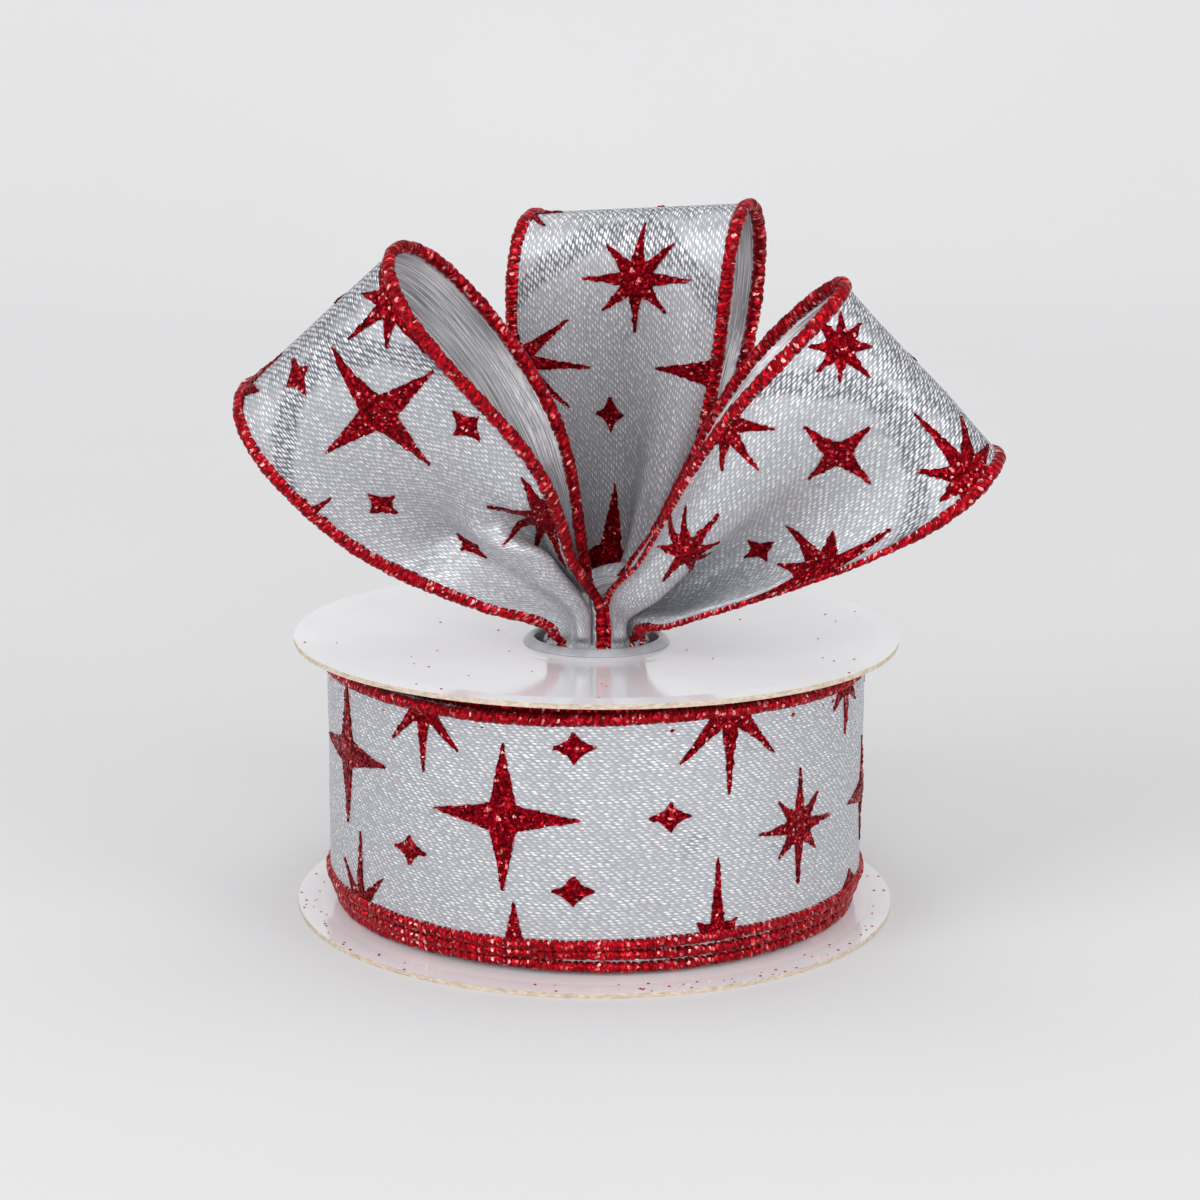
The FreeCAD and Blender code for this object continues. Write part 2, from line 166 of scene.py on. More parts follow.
# ---------------------------------------------------------------- the ribbon as a curved strip
class Strip:
    """A ribbon's middle surface: points and outward normals on a grid of along and across."""

    def __init__(self, points, across, outward, start=None):
        self.points = points
        self.across = across
        self.normals = np.cross(np.gradient(points, axis=0), np.gradient(points, axis=1))
        self.normals *= outward / np.linalg.norm(self.normals, axis=2, keepdims=True)
        middle = points[:, len(across) // 2]
        steps = np.linalg.norm(np.diff(middle, axis=0), axis=1)
        self.along = np.concatenate([[0.0], np.cumsum(steps)])
        self.along -= self.along[len(points) // 2] if start is None else start
        self.length = np.linalg.norm(np.diff(points, axis=0), axis=2).sum(axis=0).mean()

    def place(self, along, across, lift=0.0):
        """Points at ribbon coordinates, lifted off the middle surface."""
        i = np.interp(along, self.along, np.arange(len(self.along)))
        j = np.interp(across, self.across, np.arange(len(self.across)))
        i0 = np.clip(np.floor(i).astype(int), 0, len(self.along) - 2)
        j0 = np.clip(np.floor(j).astype(int), 0, len(self.across) - 2)
        u, v = (i - i0)[..., None], (j - j0)[..., None]

        def mix(grid):
            low = grid[i0, j0] * (1 - v) + grid[i0, j0 + 1] * v
            high = grid[i0 + 1, j0] * (1 - v) + grid[i0 + 1, j0 + 1] * v
            return low * (1 - u) + high * u

        return mix(self.points) + mix(self.normals) * np.asarray(lift)[..., None]

    def frame(self, along, across):
        """Centre, across direction and normal at ribbon coordinates."""
        here = self.place(along, across)
        nudge = 0.4  # half the base of the across direction
        side = self.place(along, np.clip(across + nudge, -HALF_RIBBON, HALF_RIBBON))
        side = side - self.place(along, np.clip(across - nudge, -HALF_RIBBON, HALF_RIBBON))
        side /= np.linalg.norm(side, axis=-1, keepdims=True)
        normal = self.place(along, across, np.ones_like(along)) - here
        normal /= np.linalg.norm(normal, axis=-1, keepdims=True)
        return here, side, normal


CREST_OPEN = 0.78  # how far the weave is pulled open right at a crest
CREST_FLAT, CREST_FADE = 2.0, 8.0  # over this length, and fading over this
ARCH_START, ARCH_BEND, ARCH_WIDTH = 9.0, 0.04, 3.0  # the arch below it, where it is open fully


def weave_opening(along, across):
    """How far a bow loop's weave is pulled open: at its crest, and along an arch below it."""
    at_crest = CREST_OPEN * (1.0 - smooth((np.abs(along) - CREST_FLAT) / CREST_FADE))
    past = np.abs(along) - ARCH_START - ARCH_BEND * across**2
    return np.maximum(at_crest, np.exp(-((past / ARCH_WIDTH) ** 2)))


def web_mesh(name, strip, material, spacing=0.4, crest=False):
    """The ribbon's woven web: a thin closed sheet. crest opens the weave at a loop's top."""
    count = int((strip.along[-1] - strip.along[0]) / spacing)
    along = np.linspace(strip.along[0], strip.along[-1], count)
    across = np.linspace(-WEB_REACH, WEB_REACH, int(2 * WEB_REACH / spacing))
    a, v = np.meshgrid(along, across, indexing="ij")
    skins, marks = [], []
    for side in (1.0, -1.0):
        skins.append(strip.place(a, v, np.full_like(a, side * WEB_HALF)).reshape(-1, 3))
        opened = side * (1.0 + (weave_opening(a, v) if crest else 0.0 * a))
        marks.append(np.stack([a, v, opened], axis=-1).reshape(-1, 3))
    rows, columns = a.shape
    size = rows * columns
    first = grid_faces(rows, columns)
    number = np.arange(size).reshape(rows, columns)
    rim = np.concatenate([number[0], number[1:, -1], number[-1, -2::-1], number[-2:0:-1, 0]])
    after = np.roll(rim, -1)
    wall = np.stack([rim, after, after + size, rim + size], axis=-1)
    faces = np.concatenate([first, first[:, ::-1] + size, wall])
    return add_mesh(name, np.concatenate(skins), faces, material, ribbon=np.concatenate(marks))


def stitch_mesh(name, strip, material, pitch=STITCH_PITCH, wide=1.0, thick=1.0):
    """Overlocked edges: a flat cord whose thread wraps once round it in each stitch. Its ribbon
    coordinates are along, how far a point faces the web, and the thread's height, 5 lower on
    one edge and 5 higher on the other."""
    points, faces, marks = [], [], []
    start = 0
    around, rings = 16, 8  # points round the cord, and rings to a stitch
    length = strip.along[-1] - strip.along[0]
    count = int(length / pitch * rings)
    along = np.linspace(strip.along[0], strip.along[-1], count)
    angle = np.linspace(0, 2 * math.pi, around, endpoint=False)
    for sign in (-1, 1):
        centre, side, normal = strip.frame(along, np.full(count, sign * SEAM))
        uneven = 0.16 * np.sin(along * 0.9 + 2.0 * pitch) + 0.12 * np.sin(along * 2.3 + sign)
        turn = (along / pitch + uneven)[:, None] + angle[None, :] / (2 * math.pi) * sign
        thread = np.abs(np.sin(math.pi * turn)) ** 0.6
        loose = 0.05 * np.sin(along * 1.7 + sign) + 0.04 * np.sin(along * 0.61)
        swell = (0.85 + 0.22 * thread + loose[:, None])[..., None]
        flat = np.cos(angle)[None, :, None] * side[:, None] * EDGE_WIDTH / 2 * wide
        deep = np.sin(angle)[None, :, None] * normal[:, None] * EDGE_THICK / 2 * thick
        ring = centre[:, None] + (flat + deep) * swell
        points.append(ring.reshape(-1, 3))
        inward = np.repeat(-sign * np.cos(angle)[None, :], count, axis=0)
        lengthwise = np.repeat(along[:, None], around, axis=1)
        mark = np.stack([lengthwise, inward, thread + 5.0 * sign], axis=-1)
        marks.append(mark.reshape(-1, 3))
        faces.extend(grid_faces(count, around, start, closed=True).tolist())
        faces.append(list(range(start, start + around)))
        last = start + (count - 1) * around
        faces.append(list(range(last, last + around)))
        start += count * around
    marks = np.concatenate(marks)
    return add_mesh(name, np.concatenate(points), faces, material, ribbon=marks)


# ---------------------------------------------------------------- glitter stars
ARM_TAPER = 0.52  # an arm's width near its middle, as a share of its width at the waist
ARM_TIP = 0.16
PRINT_THICK, PRINT_UNEVEN = 0.10, 0.22  # the glitter above the web
ARM_KNEE = 0.45  # where along an arm its quick narrowing ends


def star_outline(arms, waist, turn):
    """A star's corners: arm lengths in order round it, with a waist between each pair. An arm
    narrows quickly from the waist and then slowly to its tip."""
    count = len(arms)
    corners = []
    for i, arm in enumerate(arms):
        tip = turn + 2 * math.pi * i / count
        reach, width = waist * math.cos(math.pi / count), waist * math.sin(math.pi / count)
        middle = reach + (arm - reach) * ARM_KNEE
        side = ((reach, width), (middle, width * ARM_TAPER), (arm, ARM_TIP))
        for x, y in [(x, -y) for x, y in side] + list(side[:0:-1]):
            corners.append((
                x * math.cos(tip) - y * math.sin(tip), x * math.sin(tip) + y * math.cos(tip)
            ))
    return corners


def inside(outline, points):
    """Which points lie inside a closed outline."""
    x, y = points[:, 0], points[:, 1]
    hit = np.zeros(len(points), bool)
    for (x0, y0), (x1, y1) in zip(outline, np.roll(outline, -1, axis=0)):
        if y0 == y1:
            continue
        crosses = (y0 > y) != (y1 > y)
        hit ^= crosses & (x < (x1 - x0) * (y - y0) / (y1 - y0) + x0)
    return hit


def grainy(corners, step=0.45, rough=0.09):
    """The outline in short steps, each knocked a little out of line, as glitter leaves it."""
    found = []
    for (x0, y0), (x1, y1) in zip(corners, np.roll(corners, -1, axis=0)):
        count = max(1, int(math.hypot(x1 - x0, y1 - y0) / step))
        for k in range(count):
            t = k / count
            found.append((x0 + (x1 - x0) * t, y0 + (y1 - y0) * t))
    found = np.array(found)
    return found + dice.normal(0, rough, found.shape)


def glitter_mesh(name, strip, stars, material, limit=HALF_RIBBON - 0.9, grain=0.42):
    """Raised glitter print: each star is filled with small facets at uneven heights."""
    points, faces, marks = [], [], []
    start = 0
    for along, across, arms, waist, turn in stars:
        outline = grainy(np.array(star_outline(arms, waist, math.radians(turn))))
        outline += (along, across)
        low, high = outline.min(axis=0), outline.max(axis=0)
        gx, gy = np.meshgrid(np.arange(low[0], high[0], grain), np.arange(low[1], high[1], grain))
        fill = np.stack([gx.ravel(), gy.ravel()], axis=-1)
        fill += dice.uniform(-0.4, 0.4, fill.shape) * grain
        fill = fill[inside(outline, fill)]
        seeds = np.concatenate([outline, fill])
        ring = [(k, (k + 1) % len(outline)) for k in range(len(outline))]
        made = delaunay_2d_cdt([Vector(p) for p in seeds], ring, [], 0, 1e-4)
        flat = np.array([tuple(p) for p in made[0]])
        facets = np.array([f for f in made[2] if len(f) == 3])
        middle = flat[facets].mean(axis=1)
        within = inside(outline, middle) & (np.abs(middle[:, 1]) < limit)
        within &= (middle[:, 0] > strip.along[0] + 1) & (middle[:, 0] < strip.along[-1] - 1)
        facets = facets[within]
        if not len(facets):
            continue
        used, facets = np.unique(facets, return_inverse=True)
        facets = facets.reshape(-1, 3)
        flat = flat[used]
        lift = WEB_HALF + PRINT_THICK + dice.uniform(0, PRINT_UNEVEN, len(flat))
        top = strip.place(flat[:, 0], flat[:, 1], lift)
        foot = strip.place(flat[:, 0], flat[:, 1], np.full(len(flat), WEB_HALF * 0.5))
        size = len(flat)
        edges = np.concatenate([facets[:, [0, 1]], facets[:, [1, 2]], facets[:, [2, 0]]])
        _, back, number = np.unique(
            np.sort(edges, axis=1), axis=0, return_inverse=True, return_counts=True
        )
        rim = edges[number[back.ravel()] == 1]
        faces.extend((facets + start).tolist())
        faces.extend((facets[:, ::-1] + start + size).tolist())
        for a, b in rim.tolist():
            faces.append([b + start, a + start, a + start + size, b + start + size])
        points.append(np.concatenate([top, foot]))
        mark = np.concatenate([flat, np.zeros((size, 1))], axis=1)
        marks.append(np.concatenate([mark, mark]))
        start += 2 * size
    marks = np.concatenate(marks)
    return add_mesh(name, np.concatenate(points), faces, material, soft=False, ribbon=marks)


# ---------------------------------------------------------------- materials
def start_material(name):
    material = bpy.data.materials.new(name)
    material.use_nodes = True
    return material, material.node_tree


def node(tree, kind, **settings):
    made = tree.nodes.new(kind)
    for key, value in settings.items():
        setattr(made, key, value)
    return made


def link(tree, values, sockets):
    """Join each value to its socket; a value is another socket, a number or a tuple."""
    for value, socket in zip(values, sockets):
        if isinstance(value, (tuple, float)):
            socket.default_value = value
        else:
            tree.links.new(value, socket)


def maths(tree, operation, *values):
    made = node(tree, "ShaderNodeMath", operation=operation)
    link(tree, values, made.inputs)
    return made.outputs[0]


def vector_maths(tree, operation, *values):
    made = node(tree, "ShaderNodeVectorMath", operation=operation)
    link(tree, values, made.inputs)
    return made.outputs["Value" if operation == "DOT_PRODUCT" else "Vector"]


def ribbon(tree):
    """The ribbon coordinates add_mesh stored."""
    return node(tree, "ShaderNodeAttribute", attribute_name="ribbon").outputs["Vector"]


def ribbon_place(tree, scale):
    return vector_maths(tree, "MULTIPLY", ribbon(tree), scale)


def slanted(tree, along_scale, across_scale, slant):
    """Ribbon coordinates whose rows are each shifted along from the row before."""
    place = ribbon(tree)
    both = node(tree, "ShaderNodeCombineXYZ")
    rows = (along_scale, slant, 0.0), (0.0, across_scale, 0.0)
    link(tree, [vector_maths(tree, "DOT_PRODUCT", place, row) for row in rows], both.inputs)
    return both.outputs["Vector"]


def object_place(tree, scale):
    place = node(tree, "ShaderNodeTexCoord")
    return vector_maths(tree, "MULTIPLY", place.outputs["Object"], scale)


def noise(tree, place, detail):
    made = node(tree, "ShaderNodeTexNoise")
    made.inputs["Scale"].default_value = 1.0
    made.inputs["Detail"].default_value = detail
    made.inputs["Roughness"].default_value = 0.5
    tree.links.new(place, made.inputs["Vector"])
    return made.outputs["Fac"]


def cells(tree, place, scatter=1.0):
    made = node(tree, "ShaderNodeTexVoronoi")
    made.inputs["Scale"].default_value = 1.0
    made.inputs["Randomness"].default_value = scatter
    tree.links.new(place, made.inputs["Vector"])
    return made


def ramp(tree, value, stops):
    """A colour ramp from (position, colour) stops."""
    made = node(tree, "ShaderNodeValToRGB")
    ends = made.color_ramp.elements
    ends[0].position, ends[0].color = stops[0][0], (*stops[0][1], 1)
    ends[1].position, ends[1].color = stops[-1][0], (*stops[-1][1], 1)
    for position, colour in stops[1:-1]:
        ends.new(position).color = (*colour, 1)
    tree.links.new(value, made.inputs["Fac"])
    return made.outputs["Color"]


def spread(tree, value, low, high, start=0.0, stop=1.0):
    """low where value is start, high where it is stop, and even steps between."""
    made = node(tree, "ShaderNodeMapRange")
    made.inputs["From Min"].default_value = start
    made.inputs["From Max"].default_value = stop
    made.inputs["To Min"].default_value = low
    made.inputs["To Max"].default_value = high
    tree.links.new(value, made.inputs["Value"])
    return made.outputs["Result"]


def mixed(tree, share, first, second):
    """The first colour where share is 0, the second where it is 1."""
    made = node(tree, "ShaderNodeMix", data_type="RGBA", blend_type="MIX")
    link(tree, (share, first, second), [made.inputs[k] for k in (0, 6, 7)])
    return made.outputs[2]


def bumped(tree, height, strength, depth):
    made = node(tree, "ShaderNodeBump")
    made.inputs["Strength"].default_value = strength
    made.inputs["Distance"].default_value = depth * MM
    tree.links.new(height, made.inputs["Height"])
    return made.outputs["Normal"]


def tilted(tree, normal, colour, amount):
    """The normal knocked about by a cell's random colour."""
    centred = vector_maths(tree, "SUBTRACT", colour, (0.5, 0.5, 0.5))
    push = vector_maths(tree, "MULTIPLY", centred, (amount, amount, amount))
    return vector_maths(tree, "NORMALIZE", vector_maths(tree, "ADD", normal, push))


def finished(material, colour, roughness, normal=None, metallic=0.0, specular=0.5):
    """The material with its looks joined up."""
    tree = material.node_tree
    looks = {"Base Color": colour, "Roughness": roughness, "Normal": normal}
    looks.update({"Metallic": metallic, "Specular IOR Level": specular})
    shader = tree.nodes["Principled BSDF"]
    for name, value in looks.items():
        if value is not None:
            link(tree, [value], [shader.inputs[name]])
    return material


def part_of(tree, vector, index):
    made = node(tree, "ShaderNodeSeparateXYZ")
    tree.links.new(vector, made.inputs[0])
    return made.outputs[index]


def lame(name):
    """Silver metallic weave: short bright dashes in fine rows, whose random whiteness is painted
    glints, and dark slits where it is stretched, painted dark as the shade seen through them.
    Its back is greyer, with plain lines along the ribbon."""
    material, tree = start_material(name)
    dash = cells(tree, slanted(tree, 0.82, 2.25, 0.90), 0.35)
    lines = noise(tree, ribbon_place(tree, (0.10, 4.0, 0.0)), 1.0)
    patches = noise(tree, ribbon_place(tree, (0.09, 0.12, 0.0)), 2.0)
    shade = part_of(tree, dash.outputs["Color"], 0)
    bright = spread(tree, dash.outputs["Distance"], 1.0, 0.0, 0.22, 0.42)
    # The dashes are the weave's own pattern; their random whiteness is painted glints.
    core = maths(tree, "MULTIPLY", bright, spread(tree, shade, 0.35, 1.0))
    colour = mixed(tree, core, (0.38, 0.39, 0.42, 1), (1.0, 1.0, 1.0, 1))
    side = part_of(tree, ribbon(tree), 2)
    opened = maths(tree, "MULTIPLY_ADD", maths(tree, "ABSOLUTE", side), 0.60, patches)
    where = spread(tree, opened, 0.0, 0.95, 1.24, 1.46)
    # Painted shade: where the weave is open, the slits are coloured dark as the shade seen through
    # them.
    slit_shade = spread(tree, dash.outputs["Distance"], 0.0, 1.0, 0.44, 0.50)
    colour = mixed(tree, maths(tree, "MULTIPLY", slit_shade, where), colour, (0.13, 0.13, 0.155, 1))
    plain = ramp(tree, lines, [
        (0.38, (0.34, 0.34, 0.36)), (0.50, (0.62, 0.62, 0.64)), (0.62, (0.85, 0.85, 0.87)),
    ])
    colour = mixed(tree, spread(tree, side, 1.0, 0.0, -0.2, 0.2), colour, plain)
    relief = tilted(tree, bumped(tree, core, 0.5, 0.06), dash.outputs["Color"], 0.20)
    return finished(material, colour, spread(tree, core, 0.52, 0.30), relief, metallic=0.45)


def glitter(name):
    """Deep red flakes, some catching the light."""
    material, tree = start_material(name)
    flake = cells(tree, ribbon_place(tree, (2.6, 2.6, 2.6)))
    shade = part_of(tree, flake.outputs["Color"], 1)
    # The two top stops are painted glints; the stops below them are the flakes' own red.
    colour = ramp(tree, shade, [
        (0.0, (0.03, 0.0, 0.001)), (0.35, (0.12, 0.0, 0.003)), (0.80, (0.30, 0.0, 0.006)),
        (0.95, (0.75, 0.02, 0.04)), (1.0, (1.0, 0.50, 0.46)),
    ])
    relief = bumped(tree, flake.outputs["Distance"], 0.6, 0.12)
    relief = tilted(tree, relief, flake.outputs["Color"], 0.9)
    return finished(material, colour, spread(tree, shade, 0.50, 0.20), relief, 0.55, 0.04)


def thread(name):
    """Red metallic thread of the overlocked edges; the web glints between its stitches."""
    material, tree = start_material(name)
    strand = cells(tree, ribbon_place(tree, (2.2, 1.8, 1.0)), 0.9)
    shade = part_of(tree, strand.outputs["Color"], 0)
    # The pale top stop of this ramp is a painted glint on the brightest strands.
    colour = ramp(tree, shade, [
        (0.0, (0.09, 0.0, 0.003)), (0.45, (0.33, 0.0, 0.006)), (0.88, (0.55, 0.003, 0.012)),
        (1.0, (0.95, 0.40, 0.38)),
    ])
    place = ribbon(tree)
    height = maths(tree, "FLOORED_MODULO", part_of(tree, place, 2), 5.0)
    # Painted shade: the hollows between the thread's wraps are coloured darker.
    hollow_shade = spread(tree, height, 0.8, 0.0, 0.25, 0.62)
    colour = mixed(tree, hollow_shade, colour, (0.07, 0.0, 0.004, 1))
    between = spread(tree, height, 1.0, 0.0, 0.30, 0.50)
    facing_web = spread(tree, part_of(tree, place, 1), 0.0, 1.0, 0.72, 0.95)
    bare = maths(tree, "MULTIPLY", between, facing_web)
    colour = mixed(tree, bare, colour, (0.60, 0.50, 0.52, 1))
    relief = bumped(tree, strand.outputs["Distance"], 0.6, 0.10)
    relief = tilted(tree, relief, strand.outputs["Color"], 0.6)
    return finished(material, colour, spread(tree, shade, 0.45, 0.22), relief, 0.6, 0.15)


def board():
    """Glossy white coated board with a bare tan edge."""
    material, tree = start_material("flange_board")
    wide = noise(tree, object_place(tree, (40, 40, 40)), 3.0)
    white = ramp(tree, wide, [(0.3, (0.80, 0.80, 0.82)), (0.7, (0.86, 0.86, 0.875))])
    fibre = noise(tree, object_place(tree, (900, 900, 2500)), 3.0)
    tan = ramp(tree, fibre, [(0.3, (0.42, 0.33, 0.24)), (0.7, (0.66, 0.57, 0.46))])
    geometry = node(tree, "ShaderNodeNewGeometry")
    upright = maths(tree, "ABSOLUTE", part_of(tree, geometry.outputs["True Normal"], 2))
    edge = spread(tree, upright, 1.0, 0.0, 0.45, 0.55)
    wavy = bumped(tree, noise(tree, object_place(tree, (70, 70, 70)), 2.0), 0.12, 0.5)
    colour = mixed(tree, edge, white, tan)
    return finished(material, colour, spread(tree, edge, 0.10, 0.85), wavy, specular=0.8)


def cloudy(name, scale, detail, colours, roughness, relief, metallic=0.0):
    """Colour and shine that drift between two values, with a relief of (strength, depth)."""
    material, tree = start_material(name)
    cloud = noise(tree, object_place(tree, scale), detail)
    colour = ramp(tree, cloud, [(0.3, colours[0]), (0.7, colours[1])])
    normal = bumped(tree, cloud, *relief)
    return finished(material, colour, spread(tree, cloud, *roughness), normal, metallic)


def plastic():
    """Grey glossy moulded plastic."""
    greys = (0.30, 0.31, 0.34), (0.40, 0.41, 0.44)
    return cloudy("collar_plastic", (300, 300, 300), 3.0, greys, (0.14, 0.26), (0.1, 0.2))


def brown_board():
    """Raw board of the core tube."""
    browns = (0.36, 0.27, 0.18), (0.56, 0.45, 0.33)
    return cloudy("core_board", (500, 500, 1200), 4.0, browns, (0.75, 0.95), (0.4, 0.1))


def tape():
    """Whitish adhesive tape."""
    whites = (0.70, 0.70, 0.69), (0.82, 0.82, 0.80)
    return cloudy("tape", (250, 250, 700), 3.0, whites, (0.25, 0.45), (0.2, 0.1))


def steel():
    """Drawn wire."""
    greys = (0.42, 0.42, 0.44), (0.70, 0.70, 0.72)
    return cloudy("wire_steel", (3000, 3000, 900), 2.0, greys, (0.25, 0.45), (0.2, 0.05), 1.0)


def studio_grey():
    """Backdrop paper, darker on the floor than up the wall: the floor's darker colour is painted
    shade, against the stronger light that falls on the floor.
    """
    material, tree = start_material("backdrop_paper")
    cloud = noise(tree, object_place(tree, (4, 4, 4)), 3.0)
    # Painted shade: the same paper is coloured darker on the floor than on the wall.
    floor = ramp(tree, cloud, [(0.3, (0.690, 0.686, 0.690)), (0.7, (0.705, 0.701, 0.704))])
    wall = ramp(tree, cloud, [(0.3, (0.875, 0.872, 0.874)), (0.7, (0.890, 0.887, 0.889))])
    back = part_of(tree, object_place(tree, (1, 1, 1)), 1)
    colour = mixed(tree, spread(tree, back, 0.0, 1.0, 0.15, 0.9), floor, wall)
    return finished(material, colour, spread(tree, cloud, 0.65, 0.75), specular=0.2)


# ---------------------------------------------------------------- bow loops
# The same teardrop bands as in the CAD model, with the gather at their feet worked out further.
# base: the loop's foot. turn, nod and fan: degrees about the height, width and depth directions.
# height, depth and belly: the teardrop's size and fullness. lean, drift and
# skew: how far its crest goes forward, goes sideways and slopes. steep, reach, fade, waves and
# phase: the broad fold, its angle in radians, how far up it goes and where its waves lie.
# front_throat and back_throat: where each leg passes the hub's lip, as (x, y, heading and tilt in
# degrees, width between its edges). pleats: the small pleats' waves. tuck: a fold of its own, as
# (place across from -1 to 1, slope).
LOOPS = {
    "left": {
        "base": (-0.9, -7.8, 46.0), "turn": -19.8, "nod": 9.8, "fan": -35.9,
        "height": 71.1, "depth": 27.6, "belly": 0.42, "lean": 3.5, "drift": -1.9, "skew": 0.17,
        "steep": 2.01, "reach": 0.97, "fade": 1.8, "waves": 1.06, "phase": -0.34,
        "front_throat": (-2.9, -7.9, -11, 38, 9.8), "back_throat": (-4.6, -3.2, -25, 30, 7.5),
        "pleats": 3.1, "pleat_phase": 0.1,
        "tuck": ((-1, 0.3), (-0.3, 0.45), (0.0, 0.3), (0.12, -0.5), (0.22, -1.0), (0.32, -0.9),
                 (0.46, 0.2), (0.6, 0.75), (1, 0.5)),
    },
    "middle": {
        "base": (0.0, 7.5, 46.0), "turn": -17.2, "nod": -3.5, "fan": 8.4,
        "height": 70.9, "depth": 29.1, "belly": 0.62, "lean": 11.6, "drift": 0.0, "skew": 0.19,
        "steep": 1.6, "reach": 1.05, "fade": 1.13, "waves": 1.34, "phase": -0.03,
        "front_throat": (0.4, 2.6, 0, 0, 9.5), "back_throat": (0.0, 6.6, 0, 0, 8.5),
        "pleats": 3.6, "pleat_phase": 0.0,
    },
    "right": {
        "base": (0.9, -8.3, 46.0), "turn": 2.6, "nod": 17.6, "fan": 44.0,
        "height": 73.0, "depth": 22.5, "belly": 0.06, "lean": 2.3, "drift": 1.2, "skew": -0.06,
        "steep": 2.03, "reach": 1.36, "fade": 1.69, "waves": 1.31, "phase": 0.27,
        "front_throat": (4.5, -7.2, 5, -40, 7.8), "back_throat": (5.4, -3.2, 25, -30, 6.5),
        "pleats": 3.4, "pleat_phase": 0.2,
    },
}
LEG_GAP = 0.5
THROAT = 0.24  # below this share of its height a leg is drawn in to the hub
TUCK_LOW, TUCK_HIGH = 0.22, 0.62  # a loop's own tuck replaces its broad fold between these
PLEAT_REACH = 0.25  # below this share the small pleats begin
PLEAT_STEEP = 0.7
PLEAT_FADE = 1.3
SQUASH = 0.5  # how much the folds flatten where they enter the hub
THROAT_TOP = 46.4
THROAT_LOW = 41.0
THROAT_RISE = 0.75  # how fast a leg climbs out of the throat, as a share of the loop's own rise
HUB_ROOM = 9.1  # radius free for ribbon inside the hub
LIP_TOP = 46.6
LIP_FLARE = 2.4  # above the lip the room widens by this for each millimetre up
HUB_EASE = 0.2  # the outer share of the room in which ribbon is drawn in
SAMPLES = 241  # points across a loop's ribbon
LOOP_STEP = 0.0022  # from row to row, as a share of the way round a loop
DIP_ROWS = 14  # rows of each leg down in the hub
STEEPEST = 2.3  # radians, the most a fold may slope
HALVINGS = 20  # trials in the search for a fold's slope


def smooth(x):
    """0 up to 0, 1 from 1 on, with a soft step between."""
    x = np.clip(x, 0.0, 1.0)
    return x * x * (3.0 - 2.0 * x)


def axes(loop):
    """The loop's width, front and height directions."""
    fan = Matrix.Rotation(math.radians(loop["fan"]), 3, "Y")
    nod = Matrix.Rotation(math.radians(loop["nod"]), 3, "X")
    turn = Matrix.Rotation(math.radians(loop["turn"]), 3, "Z")
    pose = fan @ nod @ turn
    return [np.array(pose @ Vector(v)) for v in ((1, 0, 0), (0, -1, 0), (0, 0, 1))]


def sections(slope):
    """Running sums along sections whose slopes are given at even places, ends centred."""
    step = 2.0 * HALF_RIBBON / (SAMPLES - 1)

    def run(f):
        total = np.cumsum((f[:, 1:] + f[:, :-1]) / 2.0, axis=1) * step
        total = np.concatenate([np.zeros((len(f), 1)), total], axis=1)
        return total - (total[:, :1] + total[:, -1:]) / 2.0

    return run(np.cos(slope)), run(np.sin(slope))


def rounded(profile, width=9):
    """A profile across the ribbon with its corners smoothed."""
    window = np.hanning(width + 2)[1:-1]
    padded = np.pad(profile[0], width // 2, mode="edge")
    return np.convolve(padded, window / window.sum(), mode="valid")[None, :]


def chord(across, fold):
    """Straight distances between the ends of sections."""
    return np.hypot(across[:, -1] - across[:, 0], fold[:, -1] - fold[:, 0])


def unit(v):
    return v / np.linalg.norm(v, axis=-1, keepdims=True)


